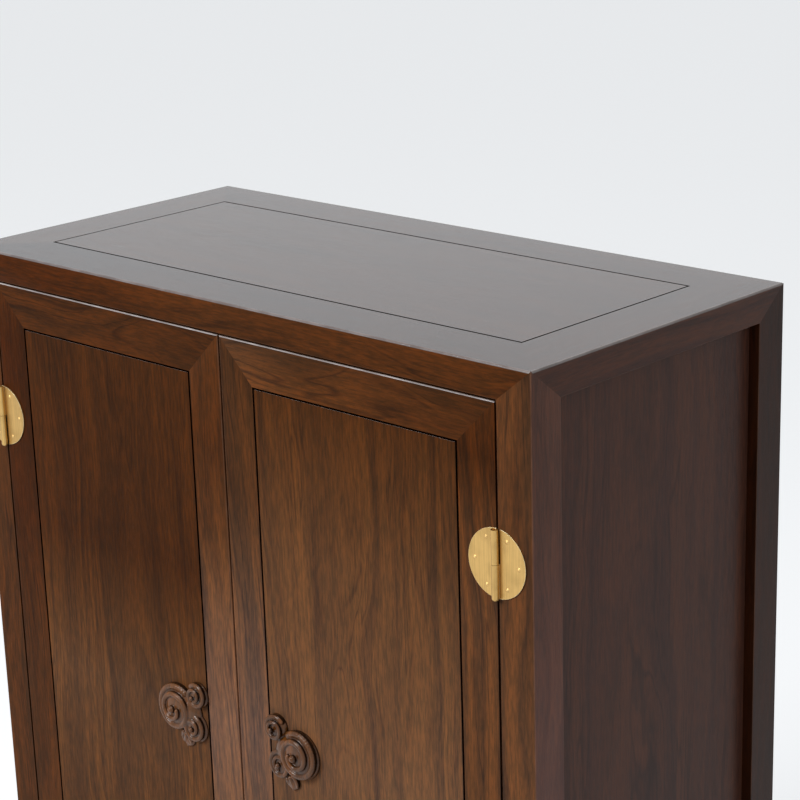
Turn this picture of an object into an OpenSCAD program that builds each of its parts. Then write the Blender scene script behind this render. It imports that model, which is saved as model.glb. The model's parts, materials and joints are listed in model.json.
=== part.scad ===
// Low two-door bookcase in dark hardwood, built as a square-cornered cabinet.
// Corner posts, mitred frames with flush floating panels, two shelves behind
// a pair of doors that hang on round brass lift-off hinges, carved wood pulls.
// Millimetres. +Z is up, the doors face -Y, the origin is on the floor under
// the middle of the footprint, pulls included.

/* [Case] */
// Width over the posts
width = 830; // [700:10:1100]
// Depth of the case from the post faces to the back
depth = 400; // [340:5:480]
// Height from the floor to the top
height = 1100; // [960:10:1300]
// Side of the square posts
post_w = 42; // [40:1:50]
// Thickness of the top frame, as its edge shows
rail_t = 34; // [32:1:40]
// Width of the members round the top panel
top_frame_w = 68; // [62:1:80]
// Height of the rails round the base board
base_rail_t = 34; // [30:1:40]
// Floor to the underside of the base rails
leg_h = 148; // [110:2:180]
// How far the side and back panels stand behind the post faces
panel_recess = 12; // [8:1:13]

/* [Panels] */
// Thickness of a flush panel in front of its tongue
lip_t = 6; // [4:0.5:7]
// Thickness of the tongue round every panel
tongue_t = 6; // [4:0.5:7]
// How far a tongue enters the frame
tongue_l = 6; // [4:0.5:7]
// Width of the shadow line round the flush panels
seam = 1.6; // [1:0.2:2.4]
// Width of the battens behind the panels
batten_w = 30; // [24:1:40]
// Depth of the sliding dovetail that holds a batten
dovetail = 3.5; // [2.5:0.5:4]
// How much each side of a sliding dovetail spreads
dovetail_flare = 1.5; // [0.5:0.5:3]

/* [Joints] */
// Thickness of the tenons
tenon_t = 12; // [8:1:12]
// Wood left over the blind tenons at the top corners
tenon_cover = 8; // [6:1:10]
// Distance from the outer faces to the tenons at the top corners
corner_inset = 4; // [3:0.5:5]
// Length of the short stub tenons and apron tongues
stub_l = 8; // [6:1:10]
// Clearance round hidden tenons and tongues
fit = 0.2; // [0.1:0.05:0.3]

/* [Aprons] */
// Height of an apron at its middle
apron_h = 36; // [28:1:44]
// Height of its bracket ends
bracket_h = 84; // [60:2:100]
// Width of its bracket ends
bracket_w = 44; // [34:1:60]
// Thickness of the aprons
apron_t = 14; // [12:1:18]
// How far the aprons stand behind the post faces
apron_inset = 6; // [2:1:8]
// Radius where the edge turns down into a bracket
bracket_r = 16; // [10:1:20]
// Radius of the bite in the foot of a bracket
bite_r = 13; // [8:1:16]

/* [Inside] */
// Thickness of the shelves
shelf_t = 18; // [15:1:22]
// Height of the cleats under the shelves
cleat_h = 26; // [22:1:32]
// Height of the rail between the back panels
mid_rail_h = 40; // [34:1:50]
// How far that rail stands behind the post faces
mid_rail_inset = 2; // [1:0.5:4]
// Height of the stop above the doors
stop_h = 18; // [17:1:22]
// Depth of the stop above the doors
stop_t = 16; // [12:1:18]
// Gap left between moving and fixed wood inside
slack = 0.5; // [0.3:0.1:1]

/* [Doors] */
// Thickness of the door frames
door_t = 22; // [20:1:25]
// Width of the door frame members
door_frame_w = 47; // [44:1:56]
// Gap round each door
door_gap = 2; // [1.5:0.25:3]
// Distance from a door's end to its batten
batten_inset = 220; // [150:5:260]

/* [Hinges] */
// Diameter of the round plates
hinge_d = 70; // [60:1:78]
// Thickness of the plates
leaf_t = 1.5; // [1:0.25:2]
// Outer diameter of the knuckles
knuckle_d = 7.6; // [7:0.2:8]
// Diameter of the pins
pin_d = 4.6; // [4:0.2:5]
// Radial clearance of a pin in its knuckles
pin_fit = 0.05; // [0.02:0.01:0.09]
// Distance from a door's end to the middle of its hinge
hinge_inset = 157; // [120:1:200]
// Height of the domed foot of a pin
pin_foot = 2.6; // [2:0.2:3.4]
// Angle of the upper and lower nails from the middle one
nail_angle = 62; // [50:1:66]
// Distance of the nails from the rim of the plate
nail_edge = 8; // [6:0.5:10]
// Diameter of the nail heads
nail_head_d = 4.6; // [4:0.2:6]
// Diameter of the nail shanks
nail_d = 1.8; // [1.4:0.2:2.2]
// Length of the nails in the wood
nail_l = 12; // [8:1:14]

/* [Catches] */
// Diameter of the round magnets in the stop
magnet_d = 9; // [8:0.5:10]
// Length of the magnets
magnet_l = 5; // [4:0.5:8]
// Diameter of the steel discs let into the doors
strike_d = 11; // [10:0.5:13]
// Thickness of the steel discs
strike_t = 1.2; // [1:0.1:2]
// Distance from the doors' meeting line to the magnets
magnet_x = 32; // [26:1:60]

/* [Pulls] */
// Distance from the doors' meeting line to the middle of a pull
pull_x = 77; // [70:1:110]
// Height of a pull above the middle of its door
pull_rise = 0; // [-60:5:60]
// Radius of a pull's large outer lobe
lobe_r = 29; // [27:0.5:32]
// How far that lobe stands out from the door
pull_proud = 18; // [15:0.5:18.5]
// Distance of that lobe from the middle of its pull
lobe_x = 19; // [17:0.5:22]
// Radius of the small upper curl, next to the meeting line
curl_r = 16; // [15:0.5:18]
// How far the curl stands out
curl_proud = 15.5; // [12:0.5:16]
// Distance of the curl from the middle of its pull
curl_x = 15; // [14:0.5:17]
// Height of the curl above the middle of its pull
curl_z = 22.5; // [20:0.5:24]
// Radius of the lobe under the curl
foot_r = 19; // [17:0.5:21]
// How far the lower lobe stands out
foot_proud = 13; // [10:0.5:15]
// Distance of the lower lobe from the middle of its pull
foot_x = 9; // [7:0.5:11]
// Depth of the lower lobe below the middle of its pull
foot_z = 18; // [16:0.5:20]
// Radius of the tail at the foot of a pull
tail_r = 11; // [10:0.5:13]
// How far the tail stands out
tail_proud = 8; // [6:0.5:9.5]
// Distance of the tail from the middle of its pull
tail_x = 5; // [3:0.5:8]
// Depth of the tail below the middle of its pull
tail_z = 34; // [32:0.5:36]
// Diameter of the pegs that hold a pull
peg_d = 8; // [6:0.5:10]
// Length of the pegs
peg_l = 8; // [6:0.5:9]

/* [Hidden] */
$fn = 48;

wood = [0.30, 0.17, 0.09];
side_wood = [0.24, 0.15, 0.11];
inner_wood = [0.45, 0.29, 0.17];
pull_wood = [0.20, 0.11, 0.07];
brass = [0.80, 0.64, 0.36];
steel = [0.66, 0.67, 0.69];

// How far a cutting shape runs past the faces that it cuts
over = 1;

// Wood left beside hidden tenons: at their edges, and next to a panel groove
shoulder = 4;
groove_wall = 3;

// The case: outer faces, the clear width between the posts, the clear height
half_w = width / 2;
front_y = (pull_proud - depth) / 2;
back_y = front_y + depth;
inner_half = half_w - post_w;
inner_d = depth - 2 * post_w;
top_z = height - rail_t;
base_z = leg_h + base_rail_t;
case_h = top_z - base_z;
flush_t = lip_t + tongue_t;

// Fall of the mitre across a post's face
mitre_fall = rail_t / post_w;
base_tenon_l = (post_w - tenon_t) / 2 - 2;

// Height of the tenon across a top mitre, and of its underside over the rail's
mitre_tenon_h = 10;
mitre_tenon_z = 8;

// Openings of the top frame and the battens under it and under the base board
top_open_w = width - 2 * top_frame_w;
top_open_d = depth - 2 * top_frame_w;
top_batten_d = rail_t - flush_t;
base_batten_d = base_rail_t - flush_t;
batten_tenon_l = 10;
batten_tenon_t = 8;
batten_shoulder = 2;

// The back: two panels with a rail between them
mid_rail_z = (base_z + top_z - mid_rail_h) / 2;
back_open_h = mid_rail_z - base_z;
back_in = panel_recess + flush_t;
mid_tenon_y = back_in - 2;

// The shelves divide the clear height into three equal spaces
shelf_space = (case_h - 2 * shelf_t) / 3;
shelf_heights = [base_z + shelf_space, base_z + 2 * shelf_space + shelf_t];
shelf_front = door_t + 3;
cleat_shoulder = 5;

// The aprons' end tongues: their thickness and how far they stop short
apron_tongue_t = 6;
apron_tongue_short = 10;

// The doors: their size, the openings of their frames and their battens
door_w = inner_half - 1.5 * door_gap;
door_h = case_h - 2 * door_gap;
door_z = base_z + door_gap;
door_open_w = door_w - 2 * door_frame_w;
door_open_h = door_h - 2 * door_frame_w;
door_batten_d = door_t - flush_t - 1.5;
door_batten_tenon_t = door_batten_d - 3;
door_tenon_t = 7;
door_tenon_h = 14;

// The hinges: the axis stands out so far that the edges clear the knuckles
hinge_r = hinge_d / 2;
knuckle_r = knuckle_d / 2;
knuckle_end = hinge_r - 0.5;
knuckle_gap = 0.4;
pin_drop = 1.5;
axis_out = knuckle_r + fit;
hinge_x = inner_half - door_gap / 2;
hinge_heights = [door_z + hinge_inset, door_z + door_h - hinge_inset];
nail_ring = hinge_r - nail_edge;
nail_dome = 1;

// The catches
strike_edge = 2;
strike_z = door_z + door_h - strike_d / 2 - strike_edge;

// The pegs of a pull: their spacing, and how far they reach into it
peg_space = 22;
peg_root = 5;

// A box given by its two opposite corners
module box(low, high) {
    translate(low) cube(high - low);
}

// A cap of a sphere, standing on z = 0
module cap(r, h) {
    ball_r = (r * r + h * h) / (2 * h);
    intersection() {
        translate([0, 0, h - ball_r]) sphere(r = ball_r);
        box([-r - over, -r - over, 0], [r + over, r + over, h + over]);
    }
}

// Places a shape drawn at a corner of the case: X runs in from the side face
// and Y runs in from the front or back face
module at_corner(sx, sy) {
    translate([sx * half_w, sy < 0 ? front_y : back_y, 0])
        mirror([sx > 0 ? 1 : 0, 0, 0])
            mirror([0, sy > 0 ? 1 : 0, 0])
                children();
}

// Turns a shape for a front or back rail into the one for a side rail
module swap_xy() {
    mirror([1, -1, 0]) children();
}

module both_ends(sy) {
    for (sx = [-1, 1]) at_corner(sx, sy) children();
}

module front_and_back(sx) {
    for (sy = [-1, 1]) at_corner(sx, sy) children();
}

// The tongue round a panel that fills an opening of w by h. The panel lies
// in the XY plane with its face at z = 0, and c is the clearance
module tongue(w, h, c) {
    reach = tongue_l + c;
    box([-reach, -reach, -flush_t - c], [w + reach, h + reach, -lip_t + c]);
}

// A panel with its tongue, line away from the edges of its opening
module tongued_panel(w, h, line) {
    box([line, line, -flush_t], [w - line, h - line, 0]);
    tongue(w, h, 0);
}

// A batten across the back of a panel: it runs along Y from 0 to span, the
// back of the panel is z = 0, and the dovetail rises into the panel
module batten(span, d, tenon) {
    box([-batten_w / 2, 0, -d], [batten_w / 2, span, 0]);
    batten_key(span, 0);
    batten_tenons(span, d, tenon, 0);
}

module batten_key(span, c) {
    root = batten_w / 2 - batten_shoulder - dovetail_flare;
    slope = dovetail_flare / dovetail;
    translate([0, span, 0]) rotate([90, 0, 0]) linear_extrude(span)
        polygon([
            [-root + slope * over - c, -over],
            [root - slope * over + c, -over],
            [root + dovetail_flare + c, dovetail + c],
            [-root - dovetail_flare - c, dovetail + c]
        ]);
}

module batten_tenons(span, d, tenon, c) {
    reach = batten_tenon_l + c;
    half = batten_w / 2 - shoulder + c;
    low = batten_shoulder - d;
    box([-half, -reach, low - c], [half, span + reach, low + tenon + c]);
}

// The groove for a batten's dovetail, right across a panel and its tongues
module batten_groove(span) {
    reach = tongue_l + over;
    translate([0, -reach, 0]) batten_key(span + 2 * reach, fit);
}

// The region above the mitre across a post's face, which falls along X
module above_mitre() {
    translate([0, post_w + over, 0]) rotate([90, 0, 0])
        linear_extrude(post_w + 2 * over)
            polygon([
                [-over, height + over * mitre_fall],
                [post_w + over, top_z - over * mitre_fall],
                [post_w + over, height + 3 * over],
                [-over, height + 3 * over]
            ]);
}

// The region below that mitre in the blank of a top rail
module below_mitre() {
    translate([0, top_frame_w + over, 0]) rotate([90, 0, 0])
        linear_extrude(top_frame_w + 2 * over)
            polygon([
                [-over, height + over * mitre_fall],
                [-over, top_z - over],
                [post_w + over / mitre_fall, top_z - over]
            ]);
}

// The region of a front or back rail's blank that belongs to the side rail
module beyond_plan_mitre() {
    translate([0, 0, top_z - over]) linear_extrude(rail_t + 2 * over)
        polygon([
            [-over, -over],
            [top_frame_w + over, top_frame_w + over],
            [-over, top_frame_w + over]
        ]);
}

// Blind tenon on the head of a post that enters the front or back rail
module head_tenon(c) {
    box(
        [post_w - corner_inset - tenon_t - c, corner_inset - c, top_z - 2 * over],
        [post_w - corner_inset + c, corner_inset + tenon_t + c, height - tenon_cover + c]
    );
}

// Tenon of a side rail that crosses the plan mitre into the front or back rail
module mitre_tenon(c) {
    low = top_z + mitre_tenon_z;
    inner = top_frame_w - tongue_l - 2;
    box(
        [post_w + shoulder - c, post_w / 2 - c, low - c],
        [inner + c, inner + c, low + mitre_tenon_h + c]
    );
}

// Tenon on the end of a front or back base rail
module base_tenon(c) {
    low = leg_h + 1.5 * shoulder;
    box(
        [post_w - base_tenon_l - c, (post_w - tenon_t) / 2 - c, low - c],
        [post_w + over, (post_w + tenon_t) / 2 + c, base_z - flush_t + c]
    );
}

// Tongue on the end of a front or back apron
module apron_tongue(c) {
    middle = apron_inset + apron_t / 2;
    half = apron_tongue_t / 2 + c;
    box(
        [post_w - stub_l - c, middle - half, leg_h - bracket_h + apron_tongue_short - c],
        [post_w + over, middle + half, leg_h - apron_tongue_short + c]
    );
}

// Stub tenons of the shelf cleats, which run between the posts along Y
module cleat_tenons(c) {
    for (z = shelf_heights)
        box(
            [back_in + shoulder - c, post_w - stub_l - c, z - cleat_h + cleat_shoulder - c],
            [post_w - shoulder + c, post_w + over, z - cleat_shoulder + c]
        );
}

// Stub tenon of the rail between the back panels
module mid_rail_tenon(c) {
    margin = tongue_l + groove_wall;
    box(
        [post_w - stub_l - c, mid_tenon_y - tenon_t - c, mid_rail_z + margin - c],
        [post_w + over, mid_tenon_y + c, mid_rail_z + mid_rail_h - margin + c]
    );
}

// The openings of the case, each with its panel's face outwards
module in_top_opening() {
    translate([top_frame_w - half_w, front_y + top_frame_w, height]) children();
}

module in_base_opening() {
    translate([-inner_half, front_y + post_w, base_z]) children();
}

module in_side_opening(sx) {
    at_corner(sx, -1) translate([panel_recess, post_w, base_z])
        rotate([90, 0, -90]) mirror([1, 0, 0]) children();
}

module in_back_opening(z) {
    translate([inner_half, back_y - panel_recess, z]) rotate([90, 0, 180]) children();
}

module back_grooves() {
    for (z = [base_z, mid_rail_z + mid_rail_h])
        in_back_opening(z) tongue(2 * inner_half, back_open_h, fit);
}

module base_groove() {
    in_base_opening() tongue(2 * inner_half, inner_d, fit);
}

// Places for three battens across the top panel, and across the base board
module at_top_battens() {
    for (i = [-1, 0, 1])
        translate([i * top_open_w / 3, front_y + top_frame_w, height - flush_t]) children();
}

module at_base_battens() {
    for (i = [-1, 0, 1])
        translate([i * inner_half * 2 / 3, front_y + post_w, base_z - flush_t]) children();
}

// Places a hinge: X points at the door, y = 0 is the face of the wood and
// z = 0 is the middle of the plate
module at_hinge(side, z) {
    translate([side * hinge_x, front_y, z]) mirror([side > 0 ? 1 : 0, 0, 0]) children();
}

module at_nails(dir) {
    for (a = [-nail_angle, 0, nail_angle])
        translate([dir * nail_ring * cos(a), 0, nail_ring * sin(a)]) children();
}

module at_all_nails(side, dir) {
    for (z = hinge_heights) at_hinge(side, z) at_nails(dir) children();
}

// A round bar along Y from y = low to y = high
module bar(d, low, high) {
    translate([0, high, 0]) rotate([90, 0, 0]) cylinder(d = d, h = high - low);
}

module nail_pilot() {
    bar(nail_d + 2 * pin_fit, -over, nail_l + fit);
}

module nail() {
    bar(nail_d, -leaf_t - nail_dome / 2, nail_l);
    translate([0, -leaf_t, 0]) rotate([90, 0, 0]) cap(nail_head_d / 2, nail_dome);
}

// Posts, mitred at the head and mortised for the rails that meet there
module post(sx, sy) {
    color(wood) difference() {
        at_corner(sx, sy) difference() {
            union() {
                difference() {
                    cube([post_w, post_w, height]);
                    above_mitre();
                    swap_xy() above_mitre();
                }
                head_tenon(0);
                swap_xy() head_tenon(0);
            }
            base_tenon(fit);
            swap_xy() base_tenon(fit);
            apron_tongue(fit);
            swap_xy() apron_tongue(fit);
            cleat_tenons(fit);
            if (sy > 0) mid_rail_tenon(fit);
        }
        in_side_opening(sx) tongue(inner_d, case_h, fit);
        base_groove();
        if (sy > 0) back_grooves();
        if (sy < 0) at_all_nails(sx, -1) nail_pilot();
    }
}

// Front and back members of the top frame
module top_long_rail(sy) {
    y = sy < 0 ? front_y : back_y - top_frame_w;
    color(wood) difference() {
        box([-half_w, y, top_z], [half_w, y + top_frame_w, height]);
        both_ends(sy) {
            below_mitre();
            beyond_plan_mitre();
            head_tenon(fit);
            mitre_tenon(fit);
        }
        in_top_opening() tongue(top_open_w, top_open_d, fit);
        at_top_battens() batten_tenons(top_open_d, top_batten_d, batten_tenon_t, fit);
        if (sy > 0) back_grooves();
    }
}

// Side members of the top frame
module top_short_rail(sx) {
    x = sx < 0 ? -half_w : half_w - top_frame_w;
    color(side_wood) difference() {
        union() {
            difference() {
                box([x, front_y, top_z], [x + top_frame_w, back_y, height]);
                front_and_back(sx) swap_xy() {
                    below_mitre();
                    beyond_plan_mitre();
                }
            }
            front_and_back(sx) mitre_tenon(0);
        }
        front_and_back(sx) swap_xy() head_tenon(fit);
        in_top_opening() tongue(top_open_w, top_open_d, fit);
        in_side_opening(sx) tongue(inner_d, case_h, fit);
    }
}

module top_panel() {
    color(wood) difference() {
        in_top_opening() tongued_panel(top_open_w, top_open_d, seam);
        at_top_battens() batten_groove(top_open_d);
    }
}

module top_battens() {
    color(inner_wood) at_top_battens() batten(top_open_d, top_batten_d, batten_tenon_t);
}

// Front and back rails round the base board
module base_long_rail(sy) {
    y = sy < 0 ? front_y : back_y - post_w;
    color(wood) difference() {
        union() {
            box([-inner_half, y, leg_h], [inner_half, y + post_w, base_z]);
            both_ends(sy) base_tenon(0);
        }
        base_groove();
        at_base_battens() batten_tenons(inner_d, base_batten_d, batten_tenon_t, fit);
        if (sy > 0) back_grooves();
    }
}

// Side rails round the base board
module base_short_rail(sx) {
    x = sx < 0 ? -half_w : inner_half;
    color(side_wood) difference() {
        union() {
            box([x, front_y + post_w, leg_h], [x + post_w, back_y - post_w, base_z]);
            front_and_back(sx) swap_xy() base_tenon(0);
        }
        base_groove();
        in_side_opening(sx) tongue(inner_d, case_h, fit);
    }
}

module base_board() {
    color(inner_wood) difference() {
        in_base_opening() tongued_panel(2 * inner_half, inner_d, slack);
        at_base_battens() batten_groove(inner_d);
    }
}

module base_battens() {
    color(inner_wood) at_base_battens() batten(inner_d, base_batten_d, batten_tenon_t);
}

module side_panel(sx) {
    color(side_wood) in_side_opening(sx) tongued_panel(inner_d, case_h, slack);
}

module back_panel(z) {
    color(inner_wood) in_back_opening(z) tongued_panel(2 * inner_half, back_open_h, slack);
}

module back_mid_rail() {
    color(side_wood) difference() {
        union() {
            box(
                [-inner_half, back_y - back_in, mid_rail_z],
                [inner_half, back_y - mid_rail_inset, mid_rail_z + mid_rail_h]
            );
            both_ends(1) mid_rail_tenon(0);
        }
        back_grooves();
    }
}

// Outline of an apron between two posts: a straight run that turns down into
// a bracket at each end, with a round bite out of each bracket's foot
module apron_outline(span) {
    clear = span / 2 - bracket_w;
    difference() {
        translate([-span / 2, -bracket_h]) square([span, bracket_h]);
        translate([-clear, -bracket_h - over])
            square([2 * clear, bracket_h - apron_h - bracket_r + over]);
        translate([-clear + bracket_r, -bracket_h - over])
            square([2 * (clear - bracket_r), bracket_h - apron_h + over]);
        for (s = [-1, 1]) {
            translate([s * (clear - bracket_r), -apron_h - bracket_r]) circle(r = bracket_r);
            translate([s * clear, -bracket_h]) circle(r = bite_r);
        }
    }
}

module long_apron(sy) {
    y = sy < 0 ? front_y + apron_inset + apron_t : back_y - apron_inset;
    color(wood) {
        translate([0, y, leg_h]) rotate([90, 0, 0])
            linear_extrude(apron_t) apron_outline(2 * inner_half);
        both_ends(sy) apron_tongue(0);
    }
}

module side_aprons() {
    color(side_wood) for (sx = [-1, 1]) {
        at_corner(sx, -1) translate([apron_inset, depth / 2, leg_h]) rotate([90, 0, 90])
            linear_extrude(apron_t) apron_outline(inner_d);
        front_and_back(sx) swap_xy() apron_tongue(0);
    }
}

// A shelf, notched round the posts
module shelf(z) {
    wide = half_w - back_in - slack;
    narrow = inner_half - slack;
    front = front_y + shelf_front;
    back = back_y - back_in - slack;
    notch_front = front_y + post_w + slack;
    notch_back = back_y - post_w - slack;
    color(inner_wood) translate([0, 0, z]) linear_extrude(shelf_t)
        polygon([
            [-narrow, front], [narrow, front], [narrow, notch_front], [wide, notch_front],
            [wide, notch_back], [narrow, notch_back], [narrow, back], [-narrow, back],
            [-narrow, notch_back], [-wide, notch_back], [-wide, notch_front], [-narrow, notch_front]
        ]);
}

module shelf_cleats() {
    color(inner_wood) for (sx = [-1, 1]) {
        at_corner(sx, -1) for (z = shelf_heights)
            box([back_in + slack, post_w, z - cleat_h], [post_w, depth - post_w, z]);
        front_and_back(sx) cleat_tenons(0);
    }
}

// The stop that the doors close against, with a magnet for each door
module door_stop() {
    y = front_y + door_t + slack;
    color(inner_wood) difference() {
        box([-inner_half + fit, y, top_z - stop_h], [inner_half - fit, y + stop_t, top_z]);
        at_magnets() bar(magnet_d + 2 * fit, -over, magnet_l + fit);
    }
}

module at_magnets() {
    for (s = [-1, 1]) translate([s * magnet_x, front_y + door_t + slack, strike_z]) children();
}

module catch_magnets() {
    color(steel) at_magnets() bar(magnet_d, 0, magnet_l);
}

// Places a door: X runs from its hinge edge to its meeting edge, y = 0 is its
// face and z = 0 is its foot
module at_door(side) {
    translate([side * (inner_half - door_gap), front_y, door_z])
        mirror([side > 0 ? 1 : 0, 0, 0]) children();
}

// Flips a shape drawn at a door's hinge edge to its meeting edge
module at_meeting_edge(flip) {
    translate([flip ? door_w : 0, 0, 0]) mirror([flip ? 1 : 0, 0, 0]) children();
}

// Flips a shape drawn at a door's head to its foot
module at_foot(flip) {
    translate([0, 0, flip ? door_h : 0]) mirror([0, 0, flip ? 1 : 0]) children();
}

module door_frame_blank(points) {
    translate([0, door_t, 0]) rotate([90, 0, 0]) linear_extrude(door_t) polygon(points);
}

// Tenon of a door's top rail that crosses the mitre into the hinge stile
module door_tenon(c) {
    low = door_h - door_frame_w + tongue_l + groove_wall;
    box(
        [door_frame_w / 3 - c, (door_t - door_tenon_t) / 2 - c, low - c],
        [door_frame_w + over, (door_t + door_tenon_t) / 2 + c, low + door_tenon_h + c]
    );
}

module door_groove() {
    translate([door_frame_w, 0, door_frame_w]) rotate([90, 0, 0])
        tongue(door_open_w, door_open_h, fit);
}

module at_door_battens() {
    for (z = [batten_inset, door_h - batten_inset])
        translate([door_frame_w, flush_t, z]) rotate([90, 90, 0]) children();
}

module door_stile(side, meeting) {
    color(wood) difference() {
        at_door(side) difference() {
            at_meeting_edge(meeting) door_frame_blank([
                [0, 0],
                [door_frame_w, door_frame_w],
                [door_frame_w, door_h - door_frame_w],
                [0, door_h]
            ]);
            for (foot = [false, true])
                at_meeting_edge(meeting) at_foot(foot) door_tenon(fit);
            door_groove();
            at_door_battens()
                batten_tenons(door_open_w, door_batten_d, door_batten_tenon_t, fit);
        }
        if (!meeting) at_all_nails(side, 1) nail_pilot();
    }
}

module door_rail(side, foot) {
    color(wood) difference() {
        at_door(side) difference() {
            union() {
                at_foot(foot) door_frame_blank([
                    [0, door_h],
                    [door_frame_w, door_h - door_frame_w],
                    [door_w - door_frame_w, door_h - door_frame_w],
                    [door_w, door_h]
                ]);
                for (meeting = [false, true])
                    at_meeting_edge(meeting) at_foot(foot) door_tenon(0);
            }
            door_groove();
        }
        if (!foot) at_strike(side) bar(strike_d + 2 * fit, -strike_t, over);
    }
}

// The steel disc's place: y = 0 is the back face of the door
module at_strike(side) {
    translate([side * magnet_x, front_y + door_t, strike_z]) children();
}

module strike(side) {
    color(steel) at_strike(side) bar(strike_d, -strike_t, 0);
}

module door_panel(side) {
    color(wood) at_door(side) difference() {
        translate([door_frame_w, 0, door_frame_w]) rotate([90, 0, 0])
            tongued_panel(door_open_w, door_open_h, seam);
        at_door_battens() batten_groove(door_open_w);
        at_pull() at_pegs() bar(peg_d + 2 * pin_fit, -over, peg_l + fit);
    }
}

module door_battens(side) {
    color(inner_wood) at_door(side) at_door_battens()
        batten(door_open_w, door_batten_d, door_batten_tenon_t);
}

// A pull's place in its door: y = 0 is the face of the door
module at_pull() {
    translate([inner_half - door_gap - pull_x, 0, door_h / 2 + pull_rise]) children();
}

module at_pegs() {
    for (s = [-1, 1]) translate([0, 0, s * peg_space / 2]) children();
}

// Cloud pull: a large lobe, a small curl above it, a lower lobe and a tail
module pull(side) {
    color(pull_wood) at_door(side) at_pull() {
        rotate([90, 0, 0]) {
            translate([-lobe_x, 0, 0]) cap(lobe_r, pull_proud);
            translate([curl_x, curl_z, 0]) cap(curl_r, curl_proud);
            translate([foot_x, -foot_z, 0]) cap(foot_r, foot_proud);
            translate([-tail_x, -tail_z, 0]) cap(tail_r, tail_proud);
        }
        at_pegs() bar(peg_d, -peg_root, peg_l);
    }
}

// The leaf of a lift-off hinge that goes on the door, with the upper knuckle
module door_leaf() {
    color(brass) difference() {
        union() {
            rotate([90, 0, 0]) linear_extrude(leaf_t) leaf_outline();
            translate([0, -axis_out, knuckle_gap / 2])
                cylinder(r = knuckle_r, h = knuckle_end - knuckle_gap / 2);
        }
        translate([0, -axis_out, -over])
            cylinder(r = pin_d / 2 + pin_fit, h = hinge_d);
        at_nails(1) bar(nail_d + 4 * pin_fit, -leaf_t - over, over);
    }
}

// Half a disc, cut back below its middle to clear the other leaf's knuckle
module leaf_outline() {
    clear = knuckle_r + slack;
    difference() {
        circle(r = hinge_r);
        translate([-hinge_r - over, -hinge_r - over])
            square([hinge_r + over, hinge_d + 2 * over]);
        translate([-over, -hinge_r - over]) square([clear + over, hinge_r + over]);
    }
}

module placed_door_leaf(side, level) {
    at_hinge(side, hinge_heights[level]) door_leaf();
}

// The same leaf turned over goes on the post, with its knuckle below
module placed_post_leaf(side, level) {
    at_hinge(side, hinge_heights[level]) rotate([0, 180, 0]) door_leaf();
}

// Pins with a domed foot under the lower knuckle
module hinge_pins(side) {
    color(brass) for (z = hinge_heights) at_hinge(side, z) translate([0, -axis_out, 0]) {
        translate([0, 0, -knuckle_end - over])
            cylinder(d = pin_d, h = 2 * knuckle_end + over - pin_drop);
        translate([0, 0, -knuckle_end]) mirror([0, 0, 1]) cap(knuckle_r - fit, pin_foot);
    }
}

module nails(sides, dir) {
    color(brass) for (side = sides) at_all_nails(side, dir) nail();
}

post(-1, -1);  // front_left_post
post(1, -1);  // front_right_post
post(-1, 1);  // back_left_post
post(1, 1);  // back_right_post
top_long_rail(-1);  // top_front_rail
top_long_rail(1);  // top_back_rail
top_short_rail(-1);  // top_left_rail
top_short_rail(1);  // top_right_rail
top_panel();
top_battens();
base_long_rail(-1);  // base_front_rail
base_long_rail(1);  // base_back_rail
base_short_rail(-1);  // base_left_rail
base_short_rail(1);  // base_right_rail
base_board();
base_battens();
side_panel(-1);  // left_side_panel
side_panel(1);  // right_side_panel
back_mid_rail();
back_panel(mid_rail_z + mid_rail_h);  // back_upper_panel
back_panel(base_z);  // back_lower_panel
long_apron(-1);  // front_apron
long_apron(1);  // back_apron
side_aprons();
shelf(shelf_heights[0]);  // lower_shelf
shelf(shelf_heights[1]);  // upper_shelf
shelf_cleats();
door_stop();
catch_magnets();
door_stile(-1, false);  // left_door_hinge_stile
door_stile(-1, true);  // left_door_meeting_stile
door_rail(-1, false);  // left_door_top_rail
door_rail(-1, true);  // left_door_bottom_rail
door_panel(-1);  // left_door_panel
door_battens(-1);  // left_door_battens
pull(-1);  // left_pull
strike(-1);  // left_strike
door_stile(1, false);  // right_door_hinge_stile
door_stile(1, true);  // right_door_meeting_stile
door_rail(1, false);  // right_door_top_rail
door_rail(1, true);  // right_door_bottom_rail
door_panel(1);  // right_door_panel
door_battens(1);  // right_door_battens
pull(1);  // right_pull
strike(1);  // right_strike
placed_post_leaf(-1, 1);  // left_upper_post_leaf
placed_door_leaf(-1, 1);  // left_upper_door_leaf
placed_post_leaf(-1, 0);  // left_lower_post_leaf
placed_door_leaf(-1, 0);  // left_lower_door_leaf
placed_post_leaf(1, 1);  // right_upper_post_leaf
placed_door_leaf(1, 1);  // right_upper_door_leaf
placed_post_leaf(1, 0);  // right_lower_post_leaf
placed_door_leaf(1, 0);  // right_lower_door_leaf
hinge_pins(-1);  // left_hinge_pins
hinge_pins(1);  // right_hinge_pins
nails([-1, 1], -1);  // post_nails
nails([-1], 1);  // left_door_nails
nails([1], 1);  // right_door_nails
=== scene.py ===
# %% [markdown]
# # A two-door bookcase in dark hardwood
#
# The real piece is joined from boards: four posts, mitred frames, floating panels, two doors on round
# brass hinges and a carved pull on each door. The imported model already holds every board at its true
# size. What is left for Blender is the surface: which way the grain runs in each board, how sharp each
# arris is, how the lacquer shines and how the brass and the carving catch the light.
#
# The model is loaded first and stays where it is, and the boxes of its parts are read from it.

import json
import math
import random

import bmesh
import bpy
from mathutils import Matrix, Vector


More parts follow.
